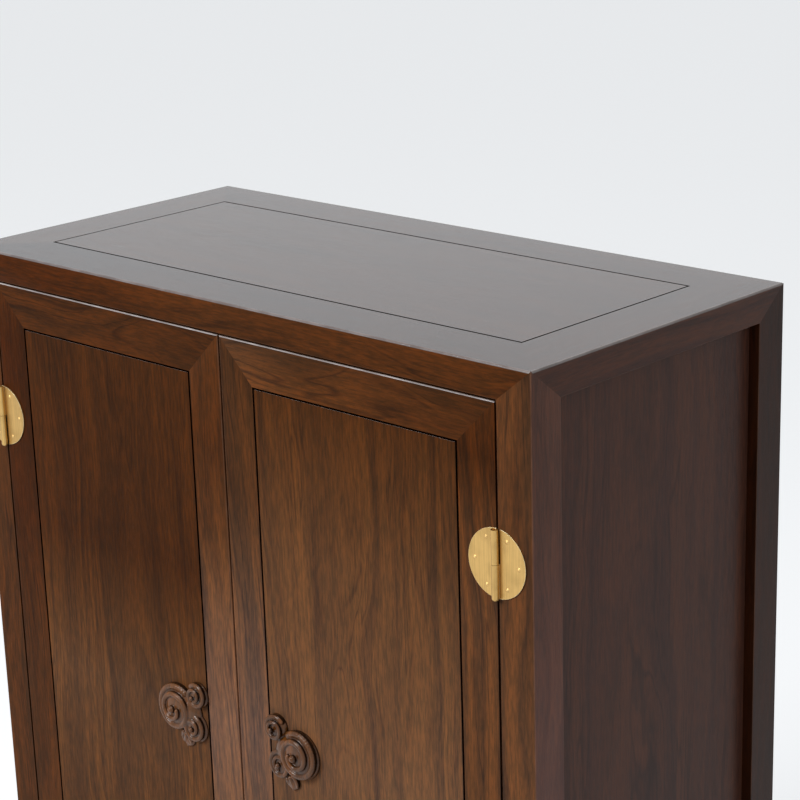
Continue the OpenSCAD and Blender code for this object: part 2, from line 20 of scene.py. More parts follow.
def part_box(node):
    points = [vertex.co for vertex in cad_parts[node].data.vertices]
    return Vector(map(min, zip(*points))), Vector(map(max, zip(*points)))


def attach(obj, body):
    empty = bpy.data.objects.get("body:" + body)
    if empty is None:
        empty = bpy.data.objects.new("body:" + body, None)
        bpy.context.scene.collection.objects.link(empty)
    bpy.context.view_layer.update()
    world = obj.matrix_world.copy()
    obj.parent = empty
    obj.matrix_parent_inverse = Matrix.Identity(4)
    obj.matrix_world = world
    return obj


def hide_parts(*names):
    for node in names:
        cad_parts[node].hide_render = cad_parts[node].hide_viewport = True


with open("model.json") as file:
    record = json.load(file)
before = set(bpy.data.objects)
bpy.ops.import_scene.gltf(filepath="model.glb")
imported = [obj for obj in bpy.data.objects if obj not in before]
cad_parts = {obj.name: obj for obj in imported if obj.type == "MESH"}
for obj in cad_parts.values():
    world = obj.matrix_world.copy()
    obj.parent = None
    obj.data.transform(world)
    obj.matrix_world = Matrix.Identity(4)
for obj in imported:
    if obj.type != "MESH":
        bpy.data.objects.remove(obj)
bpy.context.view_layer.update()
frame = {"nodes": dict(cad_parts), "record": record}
print("boards and fittings in the model:", len(frame["nodes"]))

# %% [markdown]
# ## The planes that the boards share
#
# A cabinet maker marks a few face lines on a rod and works everything from them. The same is done here:
# the faces of the case, the edges of the posts and rails and the face of the doors are read from the
# model, so the script still fits when a size changes.
#
# Left and right mirror each other, so most steps run once for each side, with -1 for the left and 1 for
# the right.

# %% Face lines
MM = 0.001
SIDES = (("left", -1), ("right", 1))

CASE_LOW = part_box("front_left_post")[0]
CASE_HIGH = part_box("back_right_post")[1]
POST_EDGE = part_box("front_right_post")[0].x
RAIL_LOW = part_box("top_front_rail")[0].z
FRONT, BACK = CASE_LOW.y, CASE_HIGH.y
TOP = CASE_HIGH.z

DOOR_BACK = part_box("left_door_top_rail")[1].y
case_size = [round(v / MM) for v in CASE_HIGH - CASE_LOW]
print("case", case_size, "mm, door", round((DOOR_BACK - FRONT) / MM), "mm thick")

# %% [markdown]
# ## The view
#
# The photograph is taken from the right, a little above the top. Its vanishing points give the turn, the
# tilt and the slight lean of the camera, and the length of the lens in pixels of a picture 800 wide. A
# long lens like this keeps the far corner of the top almost as large as the near one.

# %% Camera
PICTURE_WIDTH = 800
LENS_PIXELS = 2244.13
SENSOR_WIDTH = 36
VIEW_TURN, VIEW_TILT, VIEW_LEAN = (math.radians(a) for a in (43.586, 17.216, -1.777))
VIEW_POINT = Vector((1650.8, -1659.4, 1671.2)) * MM

camera_data = bpy.data.cameras.new("view_from_the_right")
camera_data.sensor_width = SENSOR_WIDTH
camera_data.lens = SENSOR_WIDTH * LENS_PIXELS / PICTURE_WIDTH
camera = bpy.data.objects.new("view_from_the_right", camera_data)
bpy.context.scene.collection.objects.link(camera)
turn = Matrix.Rotation(VIEW_TURN, 4, "Z") @ Matrix.Rotation(math.pi / 2 - VIEW_TILT, 4, "X")
camera.matrix_world = Matrix.Translation(VIEW_POINT) @ turn @ Matrix.Rotation(VIEW_LEAN, 4, "Z")
bpy.context.scene.camera = camera
print("lens", round(camera_data.lens, 2), "mm")

# %% [markdown]
# ## Small helpers for the finishes
#
# A shader is a chain of small steps. These helpers add one step each and take either a number or the
# output of an earlier step, so a finish reads from top to bottom like a recipe.

# %% Shader steps


def paint(red, green, blue):
    """A colour in 0 to 255 steps as the linear values that a shader takes."""
    def linear(step):
        level = step / 255
        return level / 12.92 if level <= 0.04045 else ((level + 0.055) / 1.055) ** 2.4
    return (linear(red), linear(green), linear(blue), 1)


def feed(tree, socket, value):
    if isinstance(value, bpy.types.NodeSocket):
        tree.links.new(value, socket)
    else:
        socket.default_value = value


def calc(tree, operation, *values):
    step = tree.nodes.new("ShaderNodeMath")
    step.operation = operation
    for socket, value in zip(step.inputs, values):
        feed(tree, socket, value)
    return step.outputs[0]


def stretched(tree, vector, along, across, deep):
    step = tree.nodes.new("ShaderNodeVectorMath")
    step.operation = "MULTIPLY"
    feed(tree, step.inputs[0], vector)
    step.inputs[1].default_value = (along, across, deep)
    return step.outputs[0]


def cloud(tree, vector, detail, roughness=0.5):
    """Noise from 0 to 1 with its average near a half."""
    step = tree.nodes.new("ShaderNodeTexNoise")
    feed(tree, step.inputs["Vector"], vector)
    step.inputs["Scale"].default_value = 1
    step.inputs["Detail"].default_value = detail
    step.inputs["Roughness"].default_value = roughness
    return step.outputs["Fac"]


def span(tree, value, low, high, to_low=0.0, to_high=1.0):
    """Spreads low to high over to_low to to_high, with soft ends."""
    step = tree.nodes.new("ShaderNodeMapRange")
    step.interpolation_type = "SMOOTHSTEP"
    feed(tree, step.inputs["Value"], value)
    step.inputs["From Min"].default_value = low
    step.inputs["From Max"].default_value = high
    step.inputs["To Min"].default_value = to_low
    step.inputs["To Max"].default_value = to_high
    return step.outputs["Result"]


def tinted(tree, share, first, second, way="MIX"):
    step = tree.nodes.new("ShaderNodeMix")
    step.data_type = "RGBA"
    step.blend_type = way
    feed(tree, step.inputs[0], share)
    feed(tree, step.inputs[6], first)
    feed(tree, step.inputs[7], second)
    return step.outputs[2]


def new_group(name, inputs, outputs):
    """An empty node group; inputs gives each socket's kind and default."""
    tree = bpy.data.node_groups.new(name, "ShaderNodeTree")
    for label, (kind, default) in inputs.items():
        socket = tree.interface.new_socket(name=label, in_out="INPUT", socket_type="NodeSocket" + kind)
        if default is not None:
            socket.default_value = default
    for label, kind in outputs.items():
        tree.interface.new_socket(name=label, in_out="OUTPUT", socket_type="NodeSocket" + kind)
    entry = tree.nodes.new("NodeGroupInput")
    leave = tree.nodes.new("NodeGroupOutput")
    return tree, entry.outputs, leave.inputs


def use_group(tree, group, **values):
    step = tree.nodes.new("ShaderNodeGroup")
    step.node_tree = group
    for label, value in values.items():
        feed(tree, step.inputs[label], value)
    return step.outputs


# %% [markdown]
# ## A plain studio
#
# Dark lacquered wood shows mostly what it reflects. So the studio is kept simple: a pale floor, a pale
# soft world round it, one large soft lamp from the front left and a smaller one overhead that draws a
# thin line of light along the rounded arrises, which a painted highlight makes brighter. The right side is
# left to the softer light of the room, as in the photograph, where it is a good deal darker than the front.
# Light from the left also leaves the gaps beside the doors dark, because the wall of a gap that the camera
# sees is turned away from it, and painted shade on the mouths of the gaps darkens them further.
#
# The floor and the world each have two levels. Rays that a camera, a mirror or glass sends out see the
# pale studio at full strength, so the lacquer and the brass mirror what the picture shows. All other rays
# get the softer level that lights the wood. The shadow of the bookcase stays on the floor, because its
# pale glow is only added to the light that falls there.

# %% Floor, room light and lamps
ROOM_COLOUR = (0.80, 0.83, 0.86, 1)
FLOOR_COLOUR = (0.56, 0.565, 0.57, 1)
FLOOR_GLOW = (0.55, 0.565, 0.58, 1)
ROOM_LIGHT = 0.5
FLOOR_REACH = 30


def view_rays(tree):
    """1 for rays that look at the scene, from the camera or by way of a mirror or glass."""
    path = tree.nodes.new("ShaderNodeLightPath")
    mirrored = calc(tree, "MAXIMUM", path.outputs["Is Camera Ray"], path.outputs["Is Glossy Ray"])
    return calc(tree, "MAXIMUM", mirrored, path.outputs["Is Transmission Ray"])


def stage_floor():
    mesh = bpy.data.meshes.new("studio_floor")
    bm = bmesh.new()
    bmesh.ops.create_grid(bm, x_segments=2, y_segments=2, size=FLOOR_REACH)
    bm.to_mesh(mesh)
    bm.free()
    floor = bpy.data.objects.new("studio_floor", mesh)
    bpy.context.scene.collection.objects.link(floor)
    material = bpy.data.materials.new("pale_floor")
    material.use_nodes = True
    shader = material.node_tree.nodes["Principled BSDF"]
    shader.inputs["Base Color"].default_value = FLOOR_COLOUR
    shader.inputs["Roughness"].default_value = 0.9
    shader.inputs["Specular IOR Level"].default_value = 0.1
    shader.inputs["Emission Color"].default_value = FLOOR_GLOW
    feed(material.node_tree, shader.inputs["Emission Strength"], view_rays(material.node_tree))
    mesh.materials.append(material)


def room_world():
    world = bpy.data.worlds.new("pale_room")
    bpy.context.scene.world = world
    world.use_nodes = True
    tree = world.node_tree
    tree.nodes.clear()
    output = tree.nodes.new("ShaderNodeOutputWorld")
    seen = tree.nodes.new("ShaderNodeBackground")
    seen.inputs["Color"].default_value = ROOM_COLOUR
    lighting = tree.nodes.new("ShaderNodeBackground")
    lighting.inputs["Strength"].default_value = ROOM_LIGHT
    chosen = tree.nodes.new("ShaderNodeMixShader")
    feed(tree, chosen.inputs["Fac"], view_rays(tree))
    tree.links.new(lighting.outputs[0], chosen.inputs[1])
    tree.links.new(seen.outputs[0], chosen.inputs[2])
    tree.links.new(chosen.outputs[0], output.inputs["Surface"])


def soft_lamp(name, place, aim, size, watts):
    data = bpy.data.lights.new(name, "AREA")
    data.shape = "RECTANGLE"
    data.size, data.size_y = size
    data.energy = watts
    lamp = bpy.data.objects.new(name, data)
    bpy.context.scene.collection.objects.link(lamp)
    direction = Vector(aim) - Vector(place)
    lamp.matrix_world = Matrix.Translation(place) @ direction.to_track_quat("-Z", "Y").to_matrix().to_4x4()


stage_floor()
room_world()
soft_lamp("front_softbox", place=(-1.1, -3.3, 2.8), aim=(0, 0, 0.7), size=(1.6, 1.6), watts=108)
soft_lamp("overhead_softbox", place=(0.2, -0.6, 3.4), aim=(0, 0, 1.0), size=(1.6, 1.0), watts=22)
bpy.context.scene.view_settings.view_transform = "Standard"
print("lamps:", ", ".join(lamp.name for lamp in bpy.data.lights))

# %% [markdown]
# ## The figure of the wood
#
# A board is a slice of a tree. Its lines are the yearly rings, cut lengthwise: close and straight near
# the edge of the log, wide pointed arches where the saw ran past the heart. A picture of wood can't show
# that on every cut face, so the figure is worked out in depth. Each board carries its own coordinates in
# metres: along the grain, across it, and into the board, counted from the heart of its log. The distance
# from the heart gives the ring, and a slow sway along the log bends the rings into arches.
#
# The years differ, so evenly spaced lines would look printed. The rings are noise that changes fast with
# the distance from the heart and slowly along the log: broad bands, dark streaks, and thin year lines
# where the noise crosses its middle. Smoky patches, short mottles, fibres and small open pores lie over
# them.
#
# The lacquer is stained. Where it lies thick it swallows blue most and red least, so a board with a
# darker tone is also a redder one. Within a board it is the other way round: the bright fibres are orange
# and the dark ones nearly grey. Both are powers of the tone or the shade, with an exponent of its own for
# each colour.
#
# The group gives a colour, a mask for the lacquer and a height for the open grain, so every wooden finish
# of the bookcase can share it. Boards also differ among themselves, and each carries a tone of its own; on
# the front boards the tone also holds painted sheen and shade.

# %% Node group: figure of the wood
RING_SWAY = 0.085
RING_JITTER = 0.005
LACQUER = (1.0, 1.45, 2.3)
FIBRE = (1.35, 0.9, 0.5)

# How often a pattern changes in a metre: along the grain, across it and into the board.
SWAY_RATE = (2.3, 5, 5)
JITTER_RATE = (5, 60, 60)
PATCH_RATE = (3, 18, 18)
MOTTLE_RATE = (52, 330, 330)
FIBRE_RATE = (26, 700, 700)
PORE_RATE = (95, 2300, 2300)

# The same for the patterns that follow the rings: along the log, out from its heart and across it. The
# last number is the detail of the noise.
BANDS = (0.8, 60, 6, 4)
STREAKS = (2.0, 130, 14, 5)
YEARS = (1.2, 30, 6, 3)
SMOKE = (5, 26, 20, 5)
LINES_PER_WAVE = 9
PORE_SHADE = -0.22


def placed(tree, x, y, z):
    """Three numbers or outputs as one place."""
    step = tree.nodes.new("ShaderNodeCombineXYZ")
    for socket, value in zip(step.inputs, (x, y, z)):
        feed(tree, socket, value)
    return step.outputs[0]


def make_figure_group():
    tree, given, result = new_group(
        "wood_figure",
        {
            "Board": ("Vector", None),
            "Tone": ("Float", 1.0),
            "Pale": ("Color", None),
            "Middle": ("Color", None),
            "Dark": ("Color", None),
            "Vein": ("Float", 0.6),
            "Mottle": ("Float", 0.5),
        },
        {"Colour": "Color", "Open Grain": "Float", "Relief": "Float"},
    )
    board = given["Board"]
    parts = tree.nodes.new("ShaderNodeSeparateXYZ")
    feed(tree, parts.inputs[0], board)
    along = parts.outputs["X"]

    sway = tree.nodes.new("ShaderNodeTexNoise")
    feed(tree, sway.inputs["Vector"], stretched(tree, board, *SWAY_RATE))
    sway.inputs["Scale"].default_value = 1
    sway.inputs["Detail"].default_value = 2.5
    bend = tree.nodes.new("ShaderNodeSeparateXYZ")
    feed(tree, bend.inputs[0], sway.outputs["Color"])
    side = calc(tree, "MULTIPLY_ADD", bend.outputs["X"], RING_SWAY, parts.outputs["Y"])
    deep = calc(tree, "MULTIPLY_ADD", bend.outputs["Y"], RING_SWAY, parts.outputs["Z"])
    side = calc(tree, "SUBTRACT", side, RING_SWAY / 2)
    deep = calc(tree, "SUBTRACT", deep, RING_SWAY / 2)
    squares = calc(tree, "ADD", calc(tree, "MULTIPLY", side, side), calc(tree, "MULTIPLY", deep, deep))
    jitter = cloud(tree, stretched(tree, board, *JITTER_RATE), detail=3)
    from_heart = calc(tree, "MULTIPLY_ADD", jitter, RING_JITTER, calc(tree, "SQRT", squares))

    def growth(run, rings, across, detail):
        """Noise that follows the rings: irregular bands, as wet and dry years leave them."""
        place = placed(
            tree, calc(tree, "MULTIPLY", along, run), calc(tree, "MULTIPLY", from_heart, rings),
            calc(tree, "MULTIPLY", parts.outputs["Y"], across),
        )
        return cloud(tree, place, detail=detail, roughness=0.6)

    def by_channel(value, powers):
        step = tree.nodes.new("ShaderNodeCombineColor")
        for channel, power in zip(step.inputs, powers):
            feed(tree, channel, calc(tree, "POWER", value, power))
        return step.outputs[0]

    bands = span(tree, growth(*BANDS), 0.34, 0.66)
    streaks = span(tree, growth(*STREAKS), 0.53, 0.68)
    years = calc(tree, "PINGPONG", calc(tree, "MULTIPLY", growth(*YEARS), LINES_PER_WAVE), 0.5)
    year_lines = span(tree, years, 0.0, 0.13, 0.9, 0)
    patches = cloud(tree, stretched(tree, board, *PATCH_RATE), detail=2)
    here_and_there = span(tree, patches, 0.4, 0.62, 0.08, 1)
    dark_part = calc(tree, "MULTIPLY", calc(tree, "MAXIMUM", streaks, year_lines), here_and_there)
    smoke = span(tree, growth(*SMOKE), 0.5, 0.74, 0, 0.85)
    mottle = cloud(tree, stretched(tree, board, *MOTTLE_RATE), detail=3, roughness=0.6)
    fibres = cloud(tree, stretched(tree, board, *FIBRE_RATE), detail=3, roughness=0.7)
    pores = span(tree, cloud(tree, stretched(tree, board, *PORE_RATE), detail=1), 0.6, 0.7)

    colour = tinted(tree, bands, given["Middle"], given["Pale"])
    colour = tinted(tree, calc(tree, "MULTIPLY", dark_part, given["Vein"]), colour, given["Dark"])
    colour = tinted(tree, calc(tree, "MULTIPLY", smoke, given["Vein"]), colour, given["Dark"])
    swing = calc(tree, "MULTIPLY", span(tree, mottle, 0.36, 0.64, -1, 1), given["Mottle"])
    shade = calc(tree, "MULTIPLY", calc(tree, "ADD", swing, 1.0), span(tree, fibres, 0.32, 0.68, 0.9, 1.1))
    shade = calc(tree, "MULTIPLY", shade, calc(tree, "MULTIPLY_ADD", pores, PORE_SHADE, 1.0))
    colour = tinted(tree, 1.0, colour, by_channel(shade, FIBRE), "MULTIPLY")
    colour = tinted(tree, 1.0, colour, by_channel(given["Tone"], LACQUER), "MULTIPLY")

    feed(tree, result["Colour"], colour)
    feed(tree, result["Open Grain"], fibres)
    feed(tree, result["Relief"], calc(tree, "SUBTRACT", fibres, pores))
    return tree


wood_figure = make_figure_group()
print("wood figure:", len(wood_figure.nodes), "steps")

# %% [markdown]
# ## Rubbed arrises and painted highlights
#
# Lacquer is thin on a rounded arris and gets rubbed first, so a used arris is a little paler than the face
# beside it, in patches. On the outer arris of the top, on the arrises that look up and on the brass rims
# the pale colour is much lighter than bare wood or brass: there it is a painted highlight along the arris.
# Every arris that this script rounds is marked with a value that holds its wear. The group breaks that mark
# up with noise, so the rubbing isn't an even line. Wood and brass share the group.

# %% Node group: rubbed arrises
RUB_RATE = (38, 38, 38)


def make_rubbed_and_highlight_group():
    tree, given, result = new_group(
        "rubbed_arris_and_highlight",
        {"Colour": ("Color", None), "Bare": ("Color", None), "Amount": ("Float", 0.5)},
        {"Colour": "Color", "Rubbed": "Float"},
    )
    place = tree.nodes.new("ShaderNodeTexCoord")
    mark = tree.nodes.new("ShaderNodeAttribute")
    mark.attribute_name = "worn_and_highlight"
    noise = cloud(tree, stretched(tree, place.outputs["Object"], *RUB_RATE), detail=4)
    patches = span(tree, noise, 0.35, 0.7, 0.5, 1)
    rubbed_and_highlight = calc(tree, "MULTIPLY", mark.outputs["Fac"], patches)
    rubbed_and_highlight = calc(tree, "MULTIPLY", rubbed_and_highlight, given["Amount"])
    # Mixes in the pale colour along the mark: rubbing, and on some finishes a painted highlight.
    feed(tree, result["Colour"], tinted(tree, rubbed_and_highlight, given["Colour"], given["Bare"]))
    feed(tree, result["Rubbed"], rubbed_and_highlight)
    return tree


rubbed_arris_and_highlight = make_rubbed_and_highlight_group()
print("rubbed arrises:", len(rubbed_arris_and_highlight.nodes), "steps")

# %% [markdown]
# ## Lacquered wood
#
# All boards are one dark reddish hardwood under satin lacquer. The front boards are picked for warm
# colour and a lively figure, the side and back boards are plainer and darker, and their cooler, greyer
# colour is painted light and shade for faces turned from the lamp. The inside is left paler and duller.
# The top is rubbed to a higher gloss, and mirrors the pale room. The narrow seams round the panels and the
# mouths of the gaps beside the doors are painted nearly black, as painted shade.
#
# The gloss is set straight on the shader, and the open grain makes the lacquer a little rougher along the
# fibres. Only the top and the pulls have a clear coat over it. The hollows of the carving are darkened, as
# old polish and as painted shade, and its steep sides are darkened as painted shade.

# %% Wood finishes
WOOD_RELIEF = 0.00012


def wood_finish(name, *, pale, middle, dark, vein=0.6, mottle=0.14, gloss=0.34, specular=0.025, coat=0.0,
                coat_gloss=0.1, bare_and_highlight=(140, 104, 84), rub_and_highlight=0.3, polish_and_shade=0.0, relief=0.35):
    material = bpy.data.materials.new(name)
    material.use_nodes = True
    tree = material.node_tree
    shader = tree.nodes["Principled BSDF"]
    board = tree.nodes.new("ShaderNodeAttribute")
    board.attribute_name = "board"
    tone_and_sheen = tree.nodes.new("ShaderNodeAttribute")
    tone_and_sheen.attribute_name = "tone_and_sheen"
    figure = use_group(
        tree, wood_figure, Board=board.outputs["Vector"], Tone=tone_and_sheen.outputs["Fac"], Pale=paint(*pale),
        Middle=paint(*middle), Dark=paint(*dark), Vein=vein, Mottle=mottle,
    )
    rubbed_and_highlight = use_group(tree, rubbed_arris_and_highlight, Colour=figure["Colour"], Bare=paint(*bare_and_highlight), Amount=rub_and_highlight)
    colour = rubbed_and_highlight["Colour"]
    if polish_and_shade:
        polish_and_shade_mark = tree.nodes.new("ShaderNodeAttribute")
        polish_and_shade_mark.attribute_name = "polish_and_shade_mark"
        colour = tinted(tree, calc(tree, "MULTIPLY", polish_and_shade_mark.outputs["Fac"], polish_and_shade), colour, paint(*dark))
    feed(tree, shader.inputs["Base Color"], colour)
    rough = span(tree, figure["Open Grain"], 0.2, 0.8, gloss - 0.05, gloss + 0.07)
    feed(tree, shader.inputs["Roughness"], rough)
    bump = tree.nodes.new("ShaderNodeBump")
    bump.inputs["Distance"].default_value = WOOD_RELIEF
    bump.inputs["Strength"].default_value = relief
    feed(tree, bump.inputs["Height"], figure["Relief"])
    feed(tree, shader.inputs["Normal"], bump.outputs[0])
    shader.inputs["Specular IOR Level"].default_value = specular
    shader.inputs["Coat Weight"].default_value = coat
    shader.inputs["Coat Roughness"].default_value = coat_gloss
    return material


WOODS = {
    "front_wood": dict(pale=(102, 61, 32), middle=(75, 48, 29), dark=(42, 28, 21)),
    "door_wood": dict(pale=(102, 61, 32), middle=(75, 48, 29), dark=(42, 28, 21)),
    "door_panel_wood": dict(pale=(99, 61, 32), middle=(79, 50, 29), dark=(42, 28, 21), vein=0.5),
    # A cooler, greyer copy of the front wood for faces turned from the lamp: painted light and shade.
    "side_wood": dict(
        pale=(92, 58, 45), middle=(74, 48, 41), dark=(46, 31, 28), mottle=0.1, specular=0.12
    ),
    # A paler, greyer copy for the outer face of the front posts: painted light and shade.
    "post_side_shading_wood": dict(
        pale=(110, 71, 55), middle=(97, 62, 49), dark=(64, 43, 37), vein=0.45, mottle=0.08, specular=0.12
    ),
    # Its pale grey rub colour is a painted highlight on every arris that takes this finish.
    "top_wood": dict(
        pale=(70, 44, 28), middle=(58, 36, 24), dark=(36, 24, 18), gloss=0.2, specular=0.5, coat=0.33,
        vein=0.5, mottle=0.1, bare_and_highlight=(190, 182, 180), rub_and_highlight=0.8, relief=0.2
    ),
    "inner_wood": dict(
        pale=(146, 104, 68), middle=(118, 82, 54), dark=(78, 54, 38), gloss=0.55, rub_and_highlight=0.2,
        bare_and_highlight=(170, 140, 110)
    ),
    # Near-black wood for the seams and the mouths of the gaps: painted shade.
    "seam_shade_wood": dict(
        pale=(20, 11, 8), middle=(16, 9, 7), dark=(10, 6, 5), gloss=0.8, specular=0.0, rub_and_highlight=0.0
    ),
    # The pull's hollows are darkened as old polish and painted shade, its steep sides as painted shade.
    "pull_wood": dict(
        pale=(106, 62, 24), middle=(80, 47, 18), dark=(8, 5, 4), gloss=0.3, specular=0.05, coat=0.55,
        coat_gloss=0.05, vein=0.4, polish_and_shade=0.95, bare_and_highlight=(120, 72, 32)
    ),
}
finishes = {name: wood_finish(name, **look) for name, look in WOODS.items()}
print("wood finishes:", ", ".join(finishes))

# %% [markdown]
# ## Satin brass and plain steel
#
# The hinge plates are cut from sheet brass and brushed along the pin, so the light is drawn out across
# the strokes. The rims are filed round and a little rougher, and their near-white colour is partly filed
# brass and partly a painted highlight. The catch magnets and the discs that they pull are plain brushed
# steel.

# %% Metal finishes
BRUSHED = (900, 900, 16)
POLISHED = (300, 300, 300)
TARNISH_RATE = (60, 60, 60)
TARNISH_SHADE = 0.86
TARNISH_ROUGH = 0.06
FILED_ROUGH = 0.12
METAL_RELIEF = 0.00004


def metal_finish(name, *, colour, edge, gloss, strokes=BRUSHED, rub_and_highlight=0.9):
    material = bpy.data.materials.new(name)
    material.use_nodes = True
    tree = material.node_tree
    shader = tree.nodes["Principled BSDF"]
    place = tree.nodes.new("ShaderNodeTexCoord").outputs["Object"]
    brushed = cloud(tree, stretched(tree, place, *strokes), detail=3, roughness=0.6)
    tarnish = span(tree, cloud(tree, stretched(tree, place, *TARNISH_RATE), detail=3), 0.35, 0.75)
    darker = tuple(level * TARNISH_SHADE for level in paint(*colour)[:3]) + (1,)
    toned = tinted(tree, tarnish, paint(*colour), darker)
    stroke_shade = tree.nodes.new("ShaderNodeCombineColor")
    for channel in stroke_shade.inputs[:3]:
        feed(tree, channel, span(tree, brushed, 0.35, 0.65, 0.88, 1.08))
    toned = tinted(tree, 1.0, toned, stroke_shade.outputs[0], "MULTIPLY")
    rubbed_and_highlight = use_group(tree, rubbed_arris_and_highlight, Colour=toned, Bare=paint(*edge), Amount=rub_and_highlight)
    feed(tree, shader.inputs["Base Color"], rubbed_and_highlight["Colour"])
    rough = span(tree, brushed, 0.2, 0.8, gloss - 0.07, gloss + 0.09)
    rough = calc(tree, "MULTIPLY_ADD", tarnish, TARNISH_ROUGH, rough)
    rough = calc(tree, "MULTIPLY_ADD", rubbed_and_highlight["Rubbed"], FILED_ROUGH, rough)
    feed(tree, shader.inputs["Roughness"], rough)
    bump = tree.nodes.new("ShaderNodeBump")
    bump.inputs["Distance"].default_value = METAL_RELIEF
    bump.inputs["Strength"].default_value = 0.3
    feed(tree, bump.inputs["Height"], brushed)
    feed(tree, shader.inputs["Normal"], bump.outputs[0])
    shader.inputs["Metallic"].default_value = 1
    return material


METALS = {
    # The near-white rim colour is partly filed brass and partly a painted highlight.
    "hinge_brass": dict(colour=(204, 167, 104), edge=(255, 244, 210), gloss=0.36, rub_and_highlight=1.6),
    "nail_brass": dict(colour=(212, 176, 114), edge=(250, 228, 176), gloss=0.5, strokes=POLISHED),
    "catch_steel": dict(colour=(186, 188, 190), edge=(220, 222, 224), gloss=0.34),
}
for name, look in METALS.items():
    finishes[name] = metal_finish(name, **look)
print("all finishes:", len(finishes))

# %% [markdown]
# ## Rounded arrises
#
# The boards of the model have knife-sharp arrises and know nothing of their grain. A copy is made of
# each: its loose triangles are merged and joined to flat faces, and the arrises that show are rounded as
# a plane and sandpaper leave them. Joints stay sharp, so that mitres close.
#
# Arrises are named by the line they lie on, such as the one that runs along x at the front of the top.
# Each round is marked with how worn it is, and on some finishes the same mark places a painted highlight.
# The mark also tells the kinds of rounds apart later, so the shares are quarters and eighths, which a mesh
# keeps exactly.

# %% Arrises
SHARP = math.radians(25)
FLAT = math.radians(0.4)
TOUCH = 0.02 * MM
MERGE = 0.004 * MM
ROUND_STEPS = 3

SEAM_ROUND = 0.5
PANEL_ROUND = 1.1
TOP_ROUND = 2.2
FULL_WEAR = 1.0
TOP_WEAR = 0.375
SEAM_WEAR = {SEAM_ROUND: 0.25, PANEL_ROUND: 0.75}
ROUND_WEAR = {**SEAM_WEAR, TOP_ROUND: TOP_WEAR}


def merged_copy(node):
    """A mesh to work on: the node's triangles merged, and joined to flat faces."""
    bm = bmesh.new()
    bm.from_mesh(frame["nodes"][node].data)
    bmesh.ops.remove_doubles(bm, verts=bm.verts, dist=MERGE)
    bmesh.ops.dissolve_limit(bm, angle_limit=FLAT, verts=bm.verts, edges=bm.edges)
    bm.loops.layers.float.new("worn_and_highlight")
    return bm


def sharp_edges(bm, angle=SHARP):
    return [edge for edge in bm.edges if edge.is_manifold and edge.calc_face_angle(0) >= angle]


def arris(bm, along, **at):
    """The sharp edges that run along one axis, at the given places on the others."""
    run = "xyz".index(along)
    wanted = {"xyz".index(axis): place for axis, place in at.items()}
    found = []
    for edge in sharp_edges(bm):
        first, last = (corner.co for corner in edge.verts)
        straight = all(abs(first[i] - last[i]) < TOUCH for i in range(3) if i != run)
        if straight and all(abs(first[i] - place) < TOUCH for i, place in wanted.items()):
            found.append(edge)
    return found


def ease(bm, edges, radius, wear=FULL_WEAR):
    """Rounds the edges and marks the new faces as worn."""
    if not edges:
        return
    worn_and_highlight = bm.loops.layers.float.get("worn_and_highlight")
    made = bmesh.ops.bevel(
        bm, geom=edges, offset=radius, offset_type="OFFSET", affect="EDGES", segments=ROUND_STEPS,
        profile=0.5, clamp_overlap=True, material=-1,
    )
    for face in made["faces"]:
        for loop in face.loops:
            loop[worn_and_highlight] = wear


print("rounds in mm:", ", ".join(f"{radius} worn {wear}" for radius, wear in ROUND_WEAR.items()))

# %% [markdown]
# ## Grain and tone
#
# The figure is worked out in depth, so each corner of a board is told where in the log it lies: how far
# along the grain, across it, and in from the heart. The place along the log is drawn by lot, because no
# two boards come from the same stretch of it. All draws come from one seeded source, so the bookcase
# looks the same whenever the script runs.
#
# Boards also differ in tone, and some are plainly darker or paler than their neighbours. The tones listed
# along the front boards are partly the boards' own and partly painted sheen and shade: darker towards the
# top and the left of the front, paler and less red lower down. Where the tone changes along a board, the
# board is cut across at those places, so that there are corners to write it on.

# %% Board coordinates and tones
LOG_LENGTH = 12
HEART_ASIDE = 60
HEART_DEPTH = (45, 90)
TONE_SPREAD = (0.92, 1.08)
dice = random.Random(1100)

# A pair gives a place along the board in mm and the tone there. On the front boards the tone also holds
# painted sheen and shade.
BOARD_TONES_AND_SHEEN = {
    "top_front_rail": ((-415, 0.47), (-250, 0.52), (0, 0.73), (415, 0.69)),
    "top_right_rail": 0.95,
    "front_left_post": 0.8,
    "front_right_post": ((0, 1.35), (600, 1.3), (750, 1.22), (950, 1.04), (1100, 1.0)),
    "back_right_post": 0.42,
    "right_side_panel": 0.96,
    "left_door_top_rail": 0.67,
    "left_door_hinge_stile": ((184, 0.9), (624, 0.76), (800, 0.5), (1000, 0.44), (1064, 0.6)),
    "left_door_meeting_stile": ((184, 1.1), (624, 1.9), (750, 1.5), (850, 0.92), (950, 0.68), (1064, 0.76)),
    "left_door_panel": ((225, 0.9), (624, 1.22), (790, 0.56), (1023, 0.62)),
    "right_door_top_rail": ((1, 1.1), (120, 0.82), (371, 0.68)),
    "right_door_hinge_stile": ((184, 0.9), (624, 1.15), (850, 1.15), (950, 0.9), (1010, 0.55), (1064, 0.65)),
    "right_door_meeting_stile": ((184, 1.1), (624, 1.85), (760, 1.5), (900, 0.92), (1064, 0.86)),
    "right_door_panel": ((225, 1.05), (624, 1.55), (850, 1.2), (1000, 0.75), (1023, 0.66)),
}


def tone_at(tones, place):
    """The tone at one place along a board, on the line between the two nearest pairs."""
    for (near, first), (far, last) in zip(tones, tones[1:]):
        if place <= far * MM:
            share = max((place - near * MM) / ((far - near) * MM), 0)
            return first + (last - first) * share
    return tones[-1][1]


